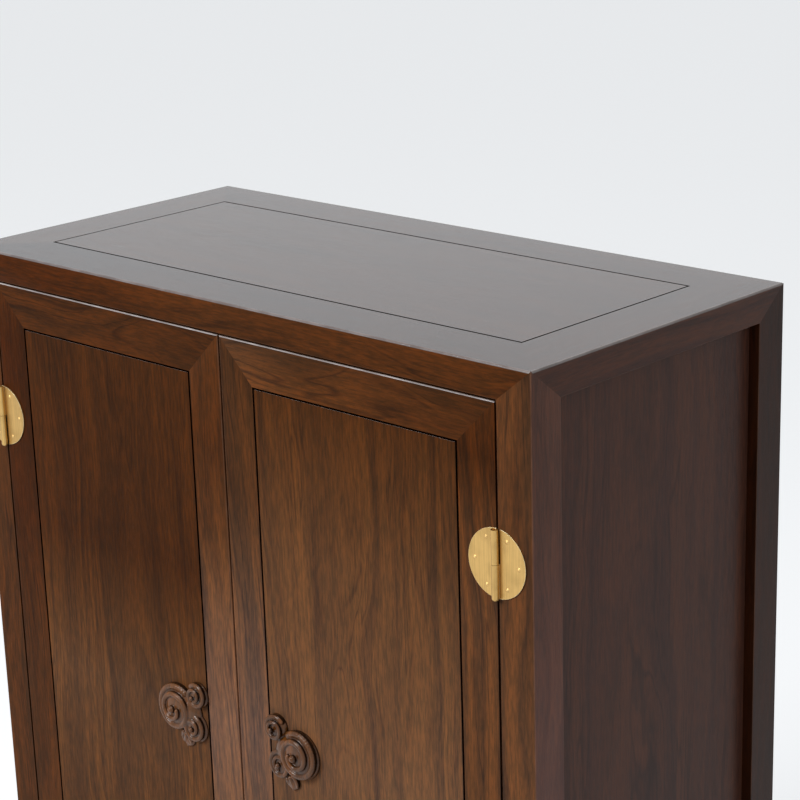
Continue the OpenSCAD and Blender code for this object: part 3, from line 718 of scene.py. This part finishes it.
def lay_grain(bm, node, grain, face, heart, start=None):
    """Writes the board coordinates: along the grain, across it, and in from the face, and the tone."""
    low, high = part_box(node)
    middle = (low + high) / 2
    run, deep = "xyz".index(grain), "xyz".index(face)
    across = 3 - run - deep
    start = dice.uniform(0, LOG_LENGTH) if start is None else start
    tones = BOARD_TONES_AND_SHEEN.get(node, dice.uniform(*TONE_SPREAD))
    if isinstance(tones, float):
        tones = ((0, tones), (1, tones))
    for place, _ in tones[1:-1]:
        along = Vector(1.0 if i == run else 0.0 for i in range(3))
        everything = bm.verts[:] + bm.edges[:] + bm.faces[:]
        bmesh.ops.bisect_plane(bm, geom=everything, plane_co=along * place * MM, plane_no=along)
    place_layer = bm.verts.layers.float_vector.new("board")
    tone_layer = bm.verts.layers.float.new("tone_and_sheen")
    for corner in bm.verts:
        place = corner.co - middle
        corner[place_layer] = (
            place[run] + start, place[across] + heart[0] * MM, place[deep] + heart[1] * MM
        )
        corner[tone_layer] = tone_at(tones, corner.co[run])


print("boards with a tone of their own:", len(BOARD_TONES_AND_SHEEN))

# %% [markdown]
# ## One board, several finishes
#
# A board can show more than one finish. Arrises that look up are as glossy as the top and share its
# painted highlight, the seams and the mouths of the gaps are painted dark as shade, and the outer face of a
# front post is plainer than its front, and paler and greyer as painted light and shade. The faces are
# picked by the way they look and by how worn they are, and the finishes of a piece are kept in a list
# named coats.

# %% Faces with another finish
LOOKS_UP = 0.2
LEVEL = 0.99
LOOKS_OUT = 0.7
WALL_LEAN = 0.1
GAP_EDGE = 0.62 * MM


def refinish(bm, faces, finish, coats):
    """Gives some faces another finish; coats lists the finishes that the piece has so far."""
    if faces and finish not in coats:
        coats.append(finish)
    for face in faces:
        face.material_index = coats.index(finish)


def wear_of(bm, face):
    worn_and_highlight = bm.loops.layers.float.get("worn_and_highlight")
    return max(loop[worn_and_highlight] for loop in face.loops)


def top_and_highlight_faces(bm, whole_top):
    """Rounded arrises that look up, or the face of the top with its outer arris."""
    found = []
    for face in bm.faces:
        wear = wear_of(bm, face)
        if whole_top and (face.normal.z > LEVEL or (wear == TOP_WEAR and face.normal.z > LOOKS_UP)):
            found.append(face)
        elif not whole_top and wear > SEAM_WEAR[SEAM_ROUND] and face.normal.z > LOOKS_UP:
            found.append(face)
    return found


def seam_shade_faces(bm, face_axis):
    """The narrow rounds along the seams, and the walls of the seams behind all seam arrises."""
    deep = "xyz".index(face_axis)
    walls = {face for face in bm.faces if wear_of(bm, face) == SEAM_WEAR[SEAM_ROUND]}
    for edge in bm.edges:
        wears = [wear_of(bm, face) for face in edge.link_faces]
        beside_seam = any(wear in SEAM_WEAR.values() for wear in wears)
        for face, wear in zip(edge.link_faces, wears):
            if beside_seam and wear == 0 and abs(face.normal[deep]) < WALL_LEAN:
                walls.add(face)
    return walls


def gap_shade_faces(bm, gaps):
    """The halves of rounded arrises that turn into the gaps at these places on x."""
    found = []
    for face in bm.faces:
        beside = any(all(abs(corner.co.x - x) < GAP_EDGE for corner in face.verts) for x in gaps)
        if beside and wear_of(bm, face) == FULL_WEAR:
            found.append(face)
    return found


# %% [markdown]
# ## A board that is ready
#
# The worked mesh becomes a piece named after its node, and the node is hidden. The piece takes its
# finishes and rides on the same body, so that a door takes its boards along when it turns. Weighted normals
# keep the wide faces flat and let the small rounds shade softly into them.

# %% Pieces from boards
SMOOTH = math.radians(35)
pieces = {}


def body_of(node):
    return next(name for name, nodes in frame["record"]["behaviour"]["bodies"].items() if node in nodes)


def slot_of(node):
    return frame["nodes"][node].data.materials[0].name


def finish_piece(bm, name, nodes, body, coats):
    """Turns the worked mesh into a piece that hides its nodes and rides on their body."""
    mesh = bpy.data.meshes.new(name)
    bm.to_mesh(mesh)
    bm.free()
    mesh.shade_smooth()
    mesh.set_sharp_from_angle(angle=SMOOTH)
    for finish in coats:
        mesh.materials.append(finishes[finish])
    piece = bpy.data.objects.new(name, mesh)
    bpy.context.scene.collection.objects.link(piece)
    even = piece.modifiers.new("even_shading", "WEIGHTED_NORMAL")
    even.keep_sharp = True
    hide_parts(*nodes)
    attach(piece, body)
    pieces[name] = piece


def board(node, grain, face, rounds=(), heart=None, start=None, whole_top=False, gaps=(), outer_side=None,
          side_shading_finish="side_wood"):
    """Dresses one wooden node. rounds lists (radius in mm, axis, places) of the arrises to ease."""
    bm = merged_copy(node)
    for radius, along, at in rounds:
        ease(bm, arris(bm, along, **at), radius * MM, wear=ROUND_WEAR.get(radius, FULL_WEAR))
    if heart is None:
        heart = (dice.uniform(-HEART_ASIDE, HEART_ASIDE), dice.choice((-1, 1)) * dice.uniform(*HEART_DEPTH))
    lay_grain(bm, node, grain, face, heart, start)
    bmesh.ops.recalc_face_normals(bm, faces=bm.faces)
    coats = [slot_of(node)]
    # Arrises that look up take the top finish, glossy and with its painted highlight.
    if coats[0] != "inner_wood":
        refinish(bm, top_and_highlight_faces(bm, whole_top), "top_wood", coats)
    # The seams and the mouths of the gaps get near-black wood: painted shade.
    refinish(bm, seam_shade_faces(bm, face), "seam_shade_wood", coats)
    refinish(bm, gap_shade_faces(bm, gaps), "seam_shade_wood", coats)
    # Outer faces get another copy of the wood: painted light and shade for faces turned to the side.
    if outer_side:
        refinish(bm, [f for f in bm.faces if f.normal.x * outer_side > LOOKS_OUT], side_shading_finish, coats)
    finish_piece(bm, node + "_board", [node], body_of(node), coats)


# %% [markdown]
# ## Posts
#
# The posts are the corners of the case, and their outer arris is the line that the eye follows down the
# front. It is rounded a little more than the two arrises beside the doors and the panels. The foot is
# eased so that it doesn't splinter when the case is slid over a floor.

# %% Four posts
OUTER_ROUND = 1.3
INNER_ROUND = 0.7

post_width = CASE_HIGH.x - POST_EDGE

for row, y_out, y_in in (("front", FRONT, FRONT + post_width), ("back", BACK, BACK - post_width)):
    for side, s in SIDES:
        x_out, x_in = s * CASE_HIGH.x, s * POST_EDGE
        board(
            f"{row}_{side}_post", "z", "y",
            rounds=[
                (OUTER_ROUND, "z", {"x": x_out, "y": y_out}),
                (INNER_ROUND, "z", {"x": x_in, "y": y_out}),
                (INNER_ROUND, "z", {"x": x_out, "y": y_in}),
                (INNER_ROUND, "z", {"x": x_in, "y": y_in}),
                (INNER_ROUND, "x", {"z": 0}),
                (INNER_ROUND, "y", {"z": 0}),
            ],
            gaps=(x_in,) if row == "front" else (),
            outer_side=s, side_shading_finish="post_side_shading_wood" if row == "front" else "side_wood",
        )
print("posts dressed:", len(pieces))

# %% [markdown]
# ## The top frame and its panel
#
# The top frame is mitred in plan over hidden tenons, and mitred again down each corner where it meets a
# post. Its outer top arris gets the largest round of the case, because arms and books rub over it. The
# panel fills the frame flush, with a shadow line all round that lets it swell and shrink with the
# seasons.

# %% Top frame and top panel
frame_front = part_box("top_front_rail")[1].y
frame_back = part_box("top_back_rail")[0].y
frame_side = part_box("top_right_rail")[0].x

for name, y_out, y_in in (("front", FRONT, frame_front), ("back", BACK, frame_back)):
    board(
        f"top_{name}_rail", "x", "z",
        rounds=[
            (TOP_ROUND, "x", {"y": y_out, "z": TOP}),
            (INNER_ROUND, "x", {"y": y_out, "z": RAIL_LOW}),
            (SEAM_ROUND, "x", {"y": y_in, "z": TOP}),
        ],
        whole_top=True,
    )
for side, s in SIDES:
    board(
        f"top_{side}_rail", "y", "z",
        rounds=[
            (TOP_ROUND, "y", {"x": s * CASE_HIGH.x, "z": TOP}),
            (INNER_ROUND, "y", {"x": s * CASE_HIGH.x, "z": RAIL_LOW}),
            (SEAM_ROUND, "y", {"x": s * frame_side, "z": TOP}),
        ],
        whole_top=True,
    )
board(
    "top_panel", "x", "z",
    rounds=[(SEAM_ROUND, "x", {"z": TOP}), (SEAM_ROUND, "y", {"z": TOP})],
    heart=(25, 60), whole_top=True,
)
board("top_battens", "y", "z")
print("with the top:", len(pieces))

# %% [markdown]
# ## Sides, back and base
#
# The side and back panels stand behind the faces of the posts, tongued into grooves all round, and float
# there. Their grain runs upright on the sides and level across the back, as the widest boards come. The
# base is a second frame with a board let into it, and aprons with bracket ends fill the corners between
# the legs.

# %% Side, back and base boards
for name in ("left_side_panel", "right_side_panel"):
    board(name, "z", "x", heart=(dice.uniform(-40, 40), 85))
for name in ("back_upper_panel", "back_lower_panel"):
    board(name, "x", "y")
rail_low, rail_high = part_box("back_mid_rail")
board(
    "back_mid_rail", "x", "y",
    rounds=[(INNER_ROUND, "x", {"y": rail_high.y, "z": z}) for z in (rail_low.z, rail_high.z)],
)

base_low, base_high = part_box("base_front_rail")
for name, y_out in (("front", FRONT), ("back", BACK)):
    board(
        f"base_{name}_rail", "x", "y",
        rounds=[(INNER_ROUND, "x", {"y": y_out, "z": z}) for z in (base_low.z, base_high.z)],
    )
for side, s in SIDES:
    board(
        f"base_{side}_rail", "y", "x",
        rounds=[(INNER_ROUND, "y", {"x": s * CASE_HIGH.x, "z": z}) for z in (base_low.z, base_high.z)],
    )
board("base_board", "x", "z")
board("base_battens", "y", "z")
print("with the sides, back and base:", len(pieces))

# %% [markdown]
# ## Aprons
#
# Each apron is a thin board on edge, sawn to a straight run that turns down into brackets. The sawn
# outline is eased all along its front, also round the curves, so here the edges are picked by the face
# that they lie on.

# %% Aprons with bracket ends
APRON_ROUND = 0.9


def outline_edges(bm, axis, places, angle=SHARP):
    """Sharp edges in the planes at these places on one axis."""
    i = "xyz".index(axis)
    found = []
    for edge in sharp_edges(bm, angle):
        if any(all(abs(corner.co[i] - place) < TOUCH for corner in edge.verts) for place in places):
            found.append(edge)
    return found


def apron(node, grain, face, places):
    bm = merged_copy(node)
    ease(bm, outline_edges(bm, face, places), APRON_ROUND * MM)
    lay_grain(bm, node, grain, face, heart=(dice.uniform(-40, 40), 60))
    bmesh.ops.recalc_face_normals(bm, faces=bm.faces)
    finish_piece(bm, node + "_board", [node], body_of(node), [slot_of(node)])


apron_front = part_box("front_apron")[0].y
apron_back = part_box("back_apron")[1].y
apron_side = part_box("side_aprons")[1].x
apron("front_apron", "x", "y", (apron_front,))
apron("back_apron", "x", "y", (apron_back,))
apron("side_aprons", "y", "x", (-apron_side, apron_side))
print("with the aprons:", len(pieces))

# %% [markdown]
# ## Inside the case
#
# The two shelves are wide boards, notched round the posts and resting on cleats, with a rounded front
# arris that hands and book spines meet. The inside is oiled, not lacquered, so it is paler and has less
# shine.

# %% Shelves, cleats and door stop
SHELF_ROUND = 1.8

for name in ("lower_shelf", "upper_shelf"):
    low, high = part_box(name)
    board(name, "x", "z", rounds=[(SHELF_ROUND, "x", {"y": low.y, "z": z}) for z in (low.z, high.z)])
board("shelf_cleats", "y", "z")
stop_low, stop_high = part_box("door_stop")
board(
    "door_stop", "x", "z",
    rounds=[(INNER_ROUND, "x", {"y": y, "z": stop_low.z}) for y in (stop_low.y, stop_high.y)],
)
print("boards of the case:", len(pieces))

# %% [markdown]
# ## Doors
#
# A door is a mitred frame round a panel that lies flush with it, behind a shadow line. The outer arrises
# have a small round that catches a bright line along the top of each door, made brighter by a painted
# highlight in the pale colour of its rubbing. The panel is sawn close to the heart of the log, which gives
# the pointed arches of the figure, and the stiles are cut further out, where the lines run straight.

# %% Door frames and panels
DOOR_ROUND = 1.2
PANEL_START = {"left": 3.1, "right": 7.4}


def dress_door(side, s):
    hinge_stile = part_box(f"{side}_door_hinge_stile")
    meeting_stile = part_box(f"{side}_door_meeting_stile")
    hinge_x = s * max(abs(v.x) for v in hinge_stile)
    hinge_in = s * min(abs(v.x) for v in hinge_stile)
    meeting_x = s * min(abs(v.x) for v in meeting_stile)
    meeting_in = s * max(abs(v.x) for v in meeting_stile)
    top_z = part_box(f"{side}_door_top_rail")[1].z
    foot_z, foot_in = (v.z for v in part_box(f"{side}_door_bottom_rail"))
    rail_width = foot_in - foot_z
    for name, x_out, x_in in (("hinge_stile", hinge_x, hinge_in), ("meeting_stile", meeting_x, meeting_in)):
        board(
            f"{side}_door_{name}", "z", "y",
            rounds=[
                (DOOR_ROUND, "z", {"x": x_out, "y": FRONT}),
                (INNER_ROUND, "z", {"x": x_out, "y": DOOR_BACK}),
                (SEAM_ROUND, "z", {"x": x_in, "y": FRONT}),
                (SEAM_ROUND, "z", {"x": x_in, "y": DOOR_BACK}),
            ],
            heart=(s * dice.uniform(70, 110), 35), gaps=(hinge_x,),
        )
    for name, z_out, z_in in (("top_rail", top_z, top_z - rail_width), ("bottom_rail", foot_z, foot_in)):
        board(
            f"{side}_door_{name}", "x", "y",
            rounds=[
                (DOOR_ROUND, "x", {"y": FRONT, "z": z_out}),
                (INNER_ROUND, "x", {"y": DOOR_BACK, "z": z_out}),
                (SEAM_ROUND, "x", {"y": FRONT, "z": z_in}),
                (SEAM_ROUND, "x", {"y": DOOR_BACK, "z": z_in}),
            ],
        )
    board(
        f"{side}_door_panel", "z", "y",
        rounds=[(SEAM_ROUND, "z", {"y": FRONT}), (PANEL_ROUND, "x", {"y": FRONT})],
        heart=(s * 20, 48), start=PANEL_START[side],
    )
    board(f"{side}_door_battens", "x", "y")


for side, s in SIDES:
    dress_door(side, s)
print("with the doors:", len(pieces))

# %% [markdown]
# ## Hinges, nails and pins
#
# Each hinge is a disc of sheet brass in two halves, and each half is rolled at one end into a knuckle
# round the pin. The rims are filed round. The filed rim is marked as worn, and its pale colour, partly filed
# brass and partly a painted highlight, is brighter than the brushed face. Nails and pins have their true
# domes in the model and only need the metal.

# %% Brass and steel fittings
RIM_ROUND = 1.1
RIM_SHARP = math.radians(60)
LEAF_THICK = 1.5 * MM
FITTINGS = {
    "hinge_brass": ("left_hinge_pins", "right_hinge_pins"),
    "nail_brass": ("post_nails", "left_door_nails", "right_door_nails"),
    "catch_steel": ("catch_magnets", "left_strike", "right_strike"),
}


def dress_leaf(node):
    bm = merged_copy(node)
    ease(bm, outline_edges(bm, "y", (FRONT - LEAF_THICK,), RIM_SHARP), RIM_ROUND * MM)
    bmesh.ops.recalc_face_normals(bm, faces=bm.faces)
    finish_piece(bm, node + "_plate", [node], body_of(node), ["hinge_brass"])


for side, _ in SIDES:
    for level in ("upper", "lower"):
        for leaf in ("post", "door"):
            dress_leaf(f"{side}_{level}_{leaf}_leaf")

for finish, nodes in FITTINGS.items():
    for node in nodes:
        frame["nodes"][node].data.materials[0] = finishes[finish]
print("with the hinges:", len(pieces))

# %% [markdown]
# ## Carved pulls
#
# Each pull is carved from one block as a drifting cloud: a large curl outside, a small one above it, a
# third below and a tail. A carver leaves the block round, cuts the curls in with a gouge and lets the
# edges stand as round ridges. Cutting is hard to do in a mesh, so the same form is built up instead:
# flattened balls for the swelling ground, and rows of overlapping beads along spirals for the ridges. A
# voxel remesh fuses them into one skin, and a little smoothing stands for the scraper.
#
# The pull is modelled flat on the door, in mm: a is the way to the meeting line and b is up. The words
# proud, top and crest tell how far a form stands out from the door.

# %% Ground and ridges of a pull
PULL_FROM_MEETING = 77
PULL_GRID = 0.5
BEADS = 90
BALL_SEGMENTS, BALL_RINGS = 48, 32
CURL_TIGHTEN = 1.5
CREST_RISE = 0.7

# The middles of the curls
BIG_CURL = (-18.5, 0)
SMALL_CURL = (15, 22.5)
LOW_CURL = (8.5, -17.5)


def swelling(bm, middle, radius, proud):
    a, b = middle
    place = Matrix.Translation((a, 0, b)) @ Matrix.Diagonal((radius, proud, radius, 1))
    bmesh.ops.create_uvsphere(bm, u_segments=BALL_SEGMENTS, v_segments=BALL_RINGS, radius=1, matrix=place)


def bead(bm, a, b, top, radius):
    place = Matrix.Translation((a, radius - top, b))
    bmesh.ops.create_icosphere(bm, subdivisions=2, radius=radius, matrix=place)


def curl(bm, middle, reach, turn, crest, thick, eye):
    """A round ridge that follows the outline and winds in to a ball. Pairs give the start and the end."""
    for step in range(BEADS + 1):
        t = step / BEADS
        angle = math.radians(turn[0] + (turn[1] - turn[0]) * t)
        out = reach[0] + (reach[1] - reach[0]) * t ** CURL_TIGHTEN
        top = crest[0] + (crest[1] - crest[0]) * t ** CREST_RISE
        a, b = middle[0] + out * math.cos(angle), middle[1] + out * math.sin(angle)
        bead(bm, a, b, top, thick[0] + (thick[1] - thick[0]) * t)
    eye_radius, eye_top = eye
    bead(bm, middle[0], middle[1], eye_top, eye_radius)


def rib(bm, first, last, bow, thick):
    """A short ridge from first to last, each (a, b, top), that bows sideways."""
    for step in range(BEADS + 1):
        t = step / BEADS
        a, b, top = (p + (q - p) * t for p, q in zip(first, last))
        bead(bm, a + bow * math.sin(math.pi * t), b, top, thick[0] + (thick[1] - thick[0]) * t)


def build_cloud(bm):
    swelling(bm, BIG_CURL, radius=27.5, proud=11.5)
    swelling(bm, SMALL_CURL, radius=15, proud=8.5)
    swelling(bm, LOW_CURL, radius=18, proud=8)
    swelling(bm, (-2, -3), radius=21, proud=9.5)
    swelling(bm, (-5, -35), radius=9.5, proud=5.5)
    curl(
        bm, BIG_CURL, reach=(24.6, 8.2), turn=(55, 720), crest=(8, 15.5), thick=(4.2, 2.8),
        eye=(4.6, 17.8),
    )
    curl(
        bm, SMALL_CURL, reach=(12.6, 4.6), turn=(135, -430), crest=(7, 12.5), thick=(3.2, 2.1),
        eye=(2.8, 15),
    )
    curl(
        bm, LOW_CURL, reach=(14.8, 5.2), turn=(150, -440), crest=(7.5, 11), thick=(3.4, 2.2),
        eye=(3.2, 12.9),
    )
    rib(bm, (-9, -26, 7.5), (-12, -39, 4), bow=-2, thick=(2.6, 1.8))
    rib(bm, (-5, -29, 8), (-6, -43, 4), bow=-1, thick=(2.8, 1.8))
    rib(bm, (0, -32, 7), (-1, -40, 4), bow=1, thick=(2.4, 1.6))


carving = bmesh.new()
build_cloud(carving)
print("balls and beads fused into one pull:", len(carving.verts), "corners")

# %% [markdown]
# ## One skin, cut flat against the door
#
# The remesh is applied on a scratch object. Then the skin is smoothed, cut off at the face of the door
# and closed. How far each point sinks below a much smoother copy tells where the carving is hollow: there
# it is darkened, as old polish and as painted shade, and the high ridges are rubbed. The steep sides are
# darkened too, as painted shade.

# %% Carved pulls on both doors
SCRAPED = 4
BLURRED = 14
HOLLOW_DEPTH = 0.4 * MM
SHADE_STEEP_FROM = 0.55
SHADE_STEEP_SPAN = 0.5
PEG_RADIUS = 4
PEG_LENGTH = 8
PEG_HEIGHTS = (-11, 11)
PEG_SEGMENTS = 32


def scrape(bm, times):
    """Softens the skin, as a scraper does."""
    for _ in range(times):
        bmesh.ops.smooth_vert(
            bm, verts=bm.verts, factor=0.5, use_axis_x=True, use_axis_y=True, use_axis_z=True
        )


def fused(bm):
    """The voxel remesh of a bmesh, as a new bmesh."""
    mesh = bpy.data.meshes.new("carving_block")
    bm.to_mesh(mesh)
    bm.free()
    block = bpy.data.objects.new("carving_block", mesh)
    bpy.context.scene.collection.objects.link(block)
    skin = block.modifiers.new("skin", "REMESH")
    skin.mode = "VOXEL"
    skin.voxel_size = PULL_GRID
    whole = bpy.data.meshes.new_from_object(block.evaluated_get(bpy.context.evaluated_depsgraph_get()))
    result = bmesh.new()
    result.from_mesh(whole)
    bpy.data.objects.remove(block)
    bpy.data.meshes.remove(mesh)
    bpy.data.meshes.remove(whole)
    return result


def mark_polish_and_shade(bm):
    """Darkness and wear of each point: polish and painted shade in dips, painted shade on sheer slopes."""
    bm.normal_update()
    blurred = bm.copy()
    scrape(blurred, BLURRED)
    polish_and_shade_mark = bm.verts.layers.float.new("polish_and_shade_mark")
    worn_and_highlight = bm.verts.layers.float.new("worn_and_highlight")
    for corner, soft in zip(bm.verts, blurred.verts):
        sunk = (soft.co - corner.co).dot(corner.normal) * MM / HOLLOW_DEPTH
        # Steep sides of the carving are darkened as painted shade.
        steep_shade = (corner.normal.y + SHADE_STEEP_FROM) / SHADE_STEEP_SPAN
        corner[polish_and_shade_mark] = min(max(sunk, steep_shade, 0), 1)
        corner[worn_and_highlight] = min(max(-sunk, 0), 1)
    blurred.free()


skin = fused(carving)
scrape(skin, SCRAPED)
everything = skin.verts[:] + skin.edges[:] + skin.faces[:]
cut = bmesh.ops.bisect_plane(
    skin, geom=everything, plane_co=(0, 0, 0), plane_no=(0, 1, 0), clear_outer=True
)
cut_edges = [part for part in cut["geom_cut"] if isinstance(part, bmesh.types.BMEdge)]
bmesh.ops.holes_fill(skin, edges=cut_edges, sides=0)
mark_polish_and_shade(skin)
for height in PEG_HEIGHTS:
    lie_down = Matrix.Translation((0, PEG_LENGTH / 2, height)) @ Matrix.Rotation(math.pi / 2, 4, "X")
    bmesh.ops.create_cone(
        skin, cap_ends=True, segments=PEG_SEGMENTS, radius1=PEG_RADIUS, radius2=PEG_RADIUS,
        depth=PEG_LENGTH, matrix=lie_down,
    )

for side, s in SIDES:
    node = f"{side}_pull"
    pull = skin.copy()
    door_low, door_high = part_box(f"{side}_door_hinge_stile")
    place = Vector((s * PULL_FROM_MEETING * MM, FRONT, (door_low.z + door_high.z) / 2))
    to_door = Matrix.Translation(place) @ Matrix.Diagonal((-s * MM, MM, MM, 1))
    bmesh.ops.transform(pull, verts=pull.verts, matrix=to_door)
    lay_grain(pull, node, "z", "y", heart=(s * 30, 40))
    bmesh.ops.recalc_face_normals(pull, faces=pull.faces)
    finish_piece(pull, f"{side}_cloud_pull", [node], body_of(node), ["pull_wood"])
    model_box = [round(v / MM, 1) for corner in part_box(node) for v in corner]
    carved = [round(v / MM, 1) for v in pieces[f"{side}_cloud_pull"].dimensions]
    print(node, "model", model_box, "carved", carved)
skin.free()

# %% [markdown]
# ## The pieces made
#
# The box in the model and the carved size of each pull are printed above, and the last line counts the
# pieces. The rounded and carved pieces must stay inside the box of the model.

# %% Finish
print("pieces made:", len(pieces))
